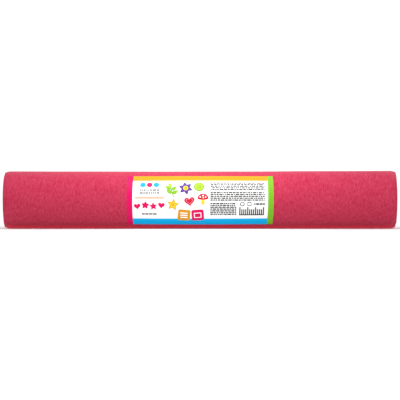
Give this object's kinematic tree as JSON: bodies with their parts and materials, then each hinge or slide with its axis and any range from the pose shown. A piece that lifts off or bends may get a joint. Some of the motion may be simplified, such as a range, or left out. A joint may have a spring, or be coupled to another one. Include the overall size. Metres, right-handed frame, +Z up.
{
  "type": "roll of felt",
  "caption": "Sheet of soft craft felt wound into an open-centred roll that lies on its side, with a paper label round its front.",
  "frame": {"origin": "middle of the flat spot that the roll rests on", "axes": "+X along the roll, the label's front faces -Y, +Z up"},
  "size_m": [0.5002, 0.0759, 0.073],
  "materials": {
    "felt": "matte",
    "label_paper": "semi-gloss print"
  },
  "bodies": {
    "root": {"felt_roll": "felt", "label": "label_paper"}
  },
  "joints": []
}
